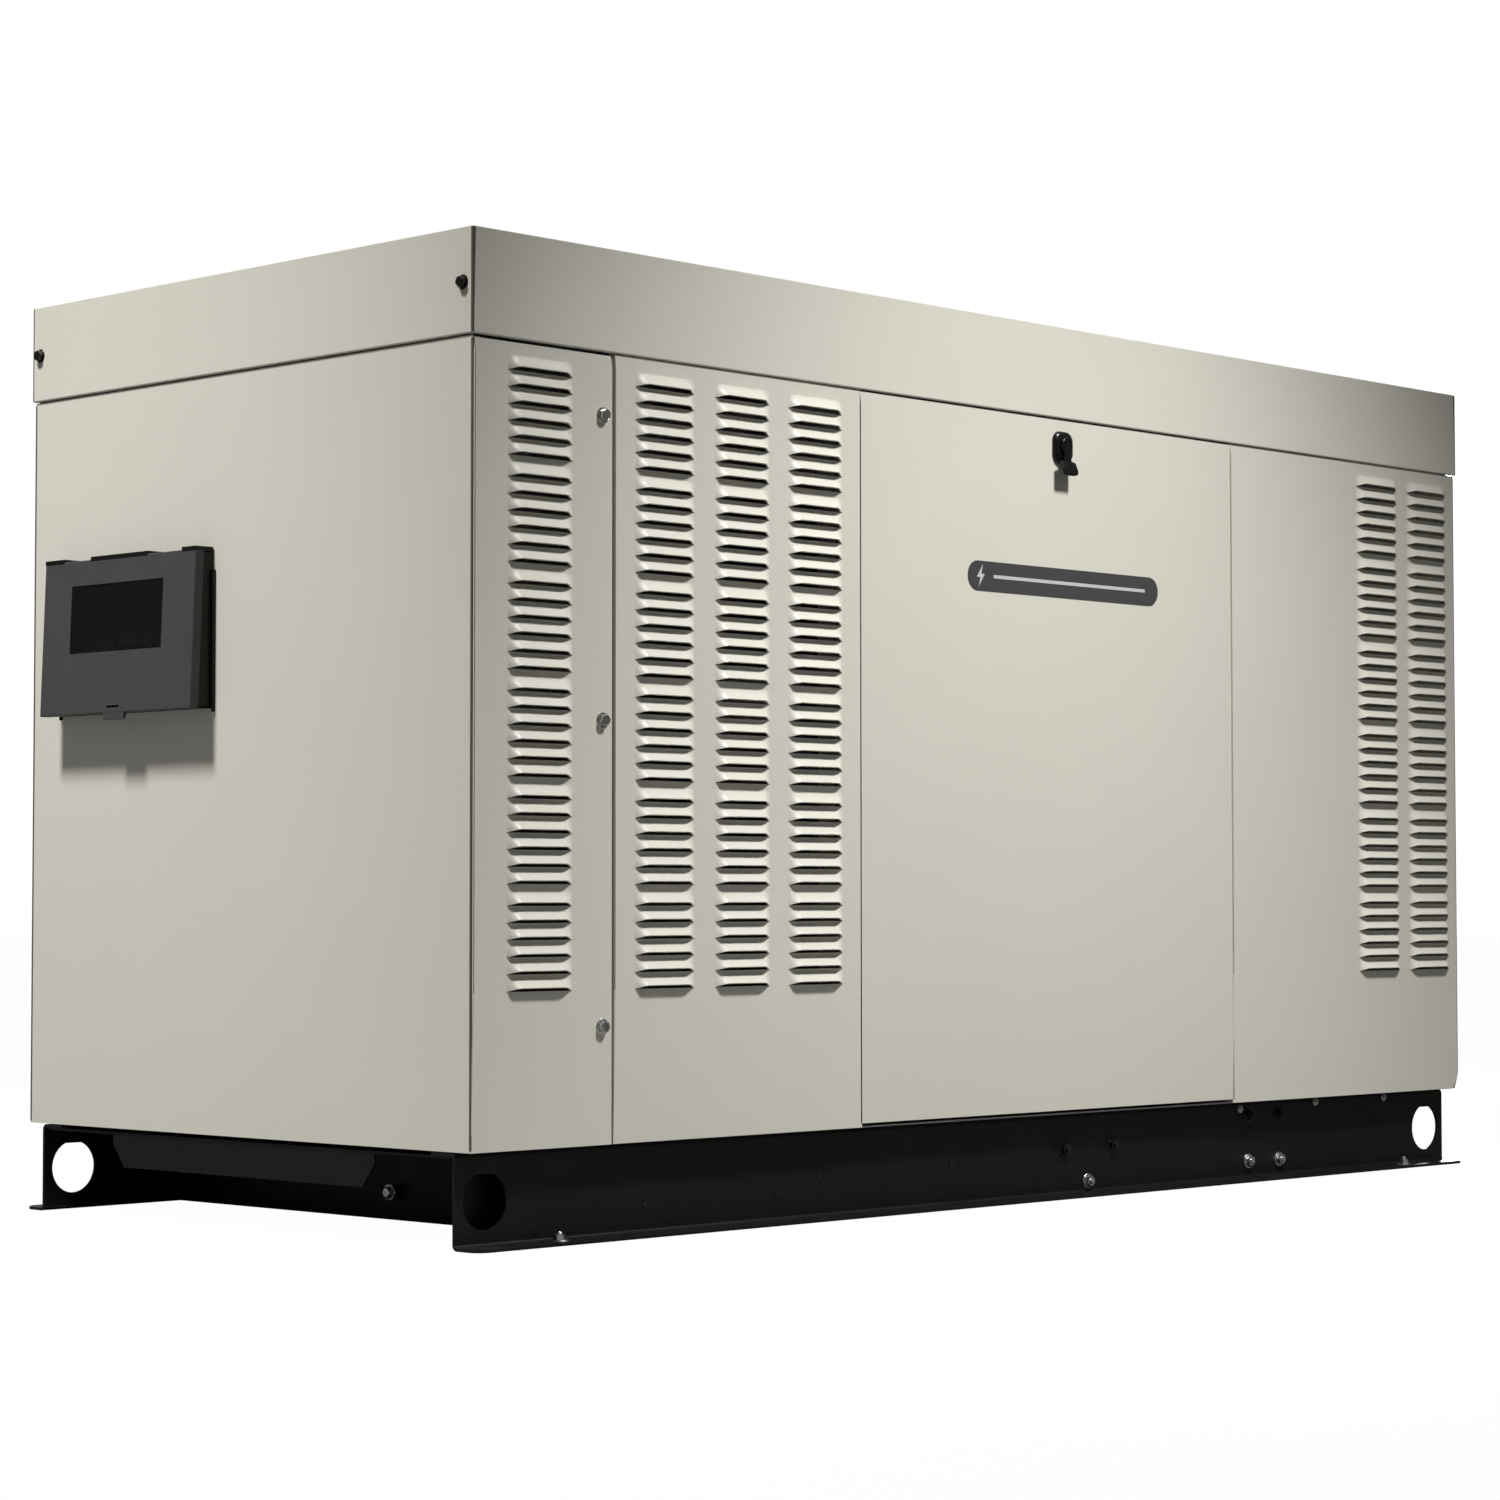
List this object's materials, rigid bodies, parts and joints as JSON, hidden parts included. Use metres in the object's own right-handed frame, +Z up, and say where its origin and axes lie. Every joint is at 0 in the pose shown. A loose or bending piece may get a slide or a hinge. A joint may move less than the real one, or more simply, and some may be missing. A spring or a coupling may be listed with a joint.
{
  "type": "home standby generator",
  "caption": "Liquid-cooled standby generator in a louvered steel cabinet on a black base frame, with tilt-out doors, turn latches and a lift-up controller cover.",
  "frame": {"origin": "centre of the bounding box's footprint, on the slab that the base rails stand on", "axes": "+X along the cabinet's length, from the controller end to the discharge end; the front door faces -Y; +Z up"},
  "size_m": [1.9954, 0.8684, 1.1409],
  "materials": {
    "cabinet_paint": "semi-gloss warm grey powder coat",
    "base_paint": "satin black paint",
    "frame_steel": "galvanised sheet",
    "charcoal_plastic": "fine moulded texture",
    "black_gloss": "gloss",
    "smoked_window": "smoked, clear",
    "zinc_steel": "zinc plated",
    "black_steel": "black oxide",
    "engine_iron": "painted casting",
    "cast_alloy": "as cast",
    "rubber": "matte",
    "exhaust_steel": "aluminised steel",
    "faceplate": "matte film",
    "key_grey": "matte",
    "breaker_red": "satin"
  },
  "bodies": {
    "cabinet": {"roof": "cabinet_paint", "left_end_panel": "cabinet_paint", "right_end_panel": "cabinet_paint", "front_corner_panel": "cabinet_paint", "front_louver_panel": "cabinet_paint", "front_right_panel": "cabinet_paint", "rear_corner_panel": "cabinet_paint", "rear_louver_panel": "cabinet_paint", "rear_right_panel": "cabinet_paint", "front_rail": "base_paint", "rear_rail": "base_paint", "left_end_crossmember": "base_paint", "left_crossmember": "base_paint", "engine_crossmember": "base_paint", "radiator_crossmember": "base_paint", "floor_pan": "frame_steel", "left_hoop": "frame_steel", "radiator_bulkhead": "frame_steel", "connection_box": "frame_steel", "controller_housing": "charcoal_plastic", "air_cleaner": "charcoal_plastic", "fan_shroud": "charcoal_plastic", "battery": "charcoal_plastic", "oil_filter": "black_gloss", "corner_bolt_lower": "zinc_steel", "corner_bolt_middle": "zinc_steel", "corner_bolt_upper": "zinc_steel", "roof_bolt_left_front": "black_steel", "roof_bolt_left_rear": "black_steel", "roof_bolt_right_front": "black_steel", "roof_bolt_right_rear": "black_steel", "engine_block": "engine_iron", "alternator": "engine_iron", "valve_cover": "cast_alloy", "radiator": "cast_alloy", "fuel_regulator": "cast_alloy", "fan_belt": "rubber", "upper_hose": "rubber", "lower_hose": "rubber", "exhaust_pipe": "exhaust_steel", "muffler": "exhaust_steel", "controller_faceplate": "faceplate"},
    "front_door": {"front_door": "cabinet_paint", "front_latch_plate": "black_gloss"},
    "front_latch": {"front_latch_handle": "black_gloss"},
    "rear_door": {"rear_door": "cabinet_paint", "rear_latch_plate": "black_gloss"},
    "rear_latch": {"rear_latch_handle": "black_gloss"},
    "controller_cover": {"controller_cover": "charcoal_plastic", "cover_window": "smoked_window"},
    "mode_switch": {"mode_switch": "black_gloss"},
    "button_escape": {"button_escape": "key_grey"},
    "button_up": {"button_up": "key_grey"},
    "button_down": {"button_down": "key_grey"},
    "button_enter": {"button_enter": "key_grey"},
    "crank": {"crank_pulley": "black_steel"},
    "fan": {"fan": "black_steel"},
    "radiator_cap": {"radiator_cap": "zinc_steel"},
    "dipstick": {"dipstick": "breaker_red"},
    "breaker_handle": {"breaker_handle": "black_gloss"}
  },
  "joints": [
    {"name": "front_door_tilt", "type": "hinge", "parent": "cabinet", "child": "front_door", "pos_m": [0, -0.416, 0.1185], "axis": [1, 0, 0], "range_deg": [0, 50]},
    {"name": "front_latch_turn", "type": "hinge", "parent": "front_door", "child": "front_latch", "pos_m": [0.06915, -0.4248, 0.984], "axis": [0, 1, 0], "range_deg": [0, 90]},
    {"name": "rear_door_tilt", "type": "hinge", "parent": "cabinet", "child": "rear_door", "pos_m": [0, 0.416, 0.1185], "axis": [-1, 0, 0], "range_deg": [0, 50]},
    {"name": "rear_latch_turn", "type": "hinge", "parent": "rear_door", "child": "rear_latch", "pos_m": [0.06915, 0.4248, 0.984], "axis": [0, -1, 0], "range_deg": [0, 90]},
    {"name": "controller_cover_lift", "type": "hinge", "parent": "cabinet", "child": "controller_cover", "pos_m": [-0.96785, 0.2045, 0.81], "axis": [0, 1, 0], "range_deg": [0, 95]},
    {"name": "mode_switch_rock", "type": "hinge", "parent": "cabinet", "child": "mode_switch", "pos_m": [-0.95485, 0.12, 0.715], "axis": [0, 1, 0], "range_deg": [-12, 12]},
    {"name": "button_escape_press", "type": "slide", "parent": "cabinet", "child": "button_escape", "axis": [1, 0, 0], "range_m": [0, 0.0015], "stiffness_N_per_m": 400},
    {"name": "button_up_press", "type": "slide", "parent": "cabinet", "child": "button_up", "axis": [1, 0, 0], "range_m": [0, 0.0015], "stiffness_N_per_m": 400},
    {"name": "button_down_press", "type": "slide", "parent": "cabinet", "child": "button_down", "axis": [1, 0, 0], "range_m": [0, 0.0015], "stiffness_N_per_m": 400},
    {"name": "button_enter_press", "type": "slide", "parent": "cabinet", "child": "button_enter", "axis": [1, 0, 0], "range_m": [0, 0.0015], "stiffness_N_per_m": 400},
    {"name": "crank_spin", "type": "hinge", "parent": "cabinet", "child": "crank", "pos_m": [0.24815, 0, 0.36], "axis": [1, 0, 0], "continuous": true},
    {"name": "fan_spin", "type": "hinge", "parent": "cabinet", "child": "fan", "pos_m": [0.24815, 0, 0.515], "axis": [1, 0, 0], "continuous": true},
    {"name": "radiator_cap_turn", "type": "hinge", "parent": "cabinet", "child": "radiator_cap", "pos_m": [0.3919, -0.08, 0.8625], "axis": [0, 0, 1], "range_deg": [0, 90]},
    {"name": "dipstick_pull", "type": "slide", "parent": "cabinet", "child": "dipstick", "axis": [0, 0, 1], "range_m": [0, 0.28]},
    {"name": "breaker_throw", "type": "hinge", "parent": "cabinet", "child": "breaker_handle", "pos_m": [-0.71185, 0.073, 0.58], "axis": [1, 0, 0], "range_deg": [0, 60]}
  ],
  "couplings": [
    {"joint": "fan_spin", "follows": "crank_spin", "ratio": 1.2414}
  ]
}
